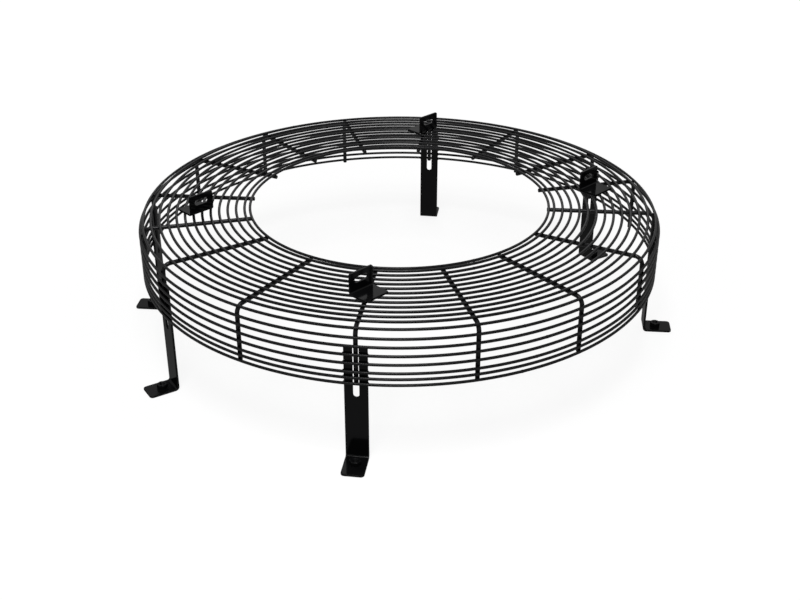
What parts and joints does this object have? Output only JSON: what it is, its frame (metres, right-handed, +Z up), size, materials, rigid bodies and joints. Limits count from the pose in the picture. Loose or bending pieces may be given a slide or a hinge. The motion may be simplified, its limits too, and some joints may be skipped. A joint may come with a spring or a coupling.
{
  "type": "wire fan guard",
  "caption": "Deep ring-shaped wire fan guard with bent ribs, slotted strap legs ending in bolted feet, and slotted rail brackets on top.",
  "frame": {"origin": "on the guard's axis, level with the undersides of the feet", "axes": "+Z up along the axis, out through the mouth; +X along the two rails that the tabs bolt to; +Y across them"},
  "size_m": [0.85, 0.7914, 0.2361],
  "materials": {
    "wire": "satin black powder coat on steel wire",
    "plate": "satin black powder coat on flat steel bar",
    "hardware": "black coated steel nut"
  },
  "bodies": {
    "root": {"ring_01": "wire", "ring_02": "wire", "ring_03": "wire", "ring_04": "wire", "ring_05": "wire", "ring_06": "wire", "ring_07": "wire", "ring_08": "wire", "ring_09": "wire", "ring_10": "wire", "ring_11": "wire", "ring_12": "wire", "ring_13": "wire", "ring_14": "wire", "ring_15": "wire", "ring_16": "wire", "ring_17": "wire", "ring_18": "wire", "ring_19": "wire", "ring_20": "wire", "ring_21": "wire", "rib_01": "wire", "rib_02": "wire", "rib_03": "wire", "rib_04": "wire", "rib_05": "wire", "rib_06": "wire", "rib_07": "wire", "rib_08": "wire", "rib_09": "wire", "rib_10": "wire", "rib_11": "wire", "rib_12": "wire", "rib_13": "wire", "rib_14": "wire", "rib_15": "wire", "rib_16": "wire", "leg_1": "plate", "leg_2": "plate", "leg_3": "plate", "leg_4": "plate", "leg_5": "plate", "leg_6": "plate", "bracket_1": "plate", "bracket_2": "plate", "bracket_3": "plate", "bracket_4": "plate", "weld_nuts": "hardware"}
  },
  "joints": []
}
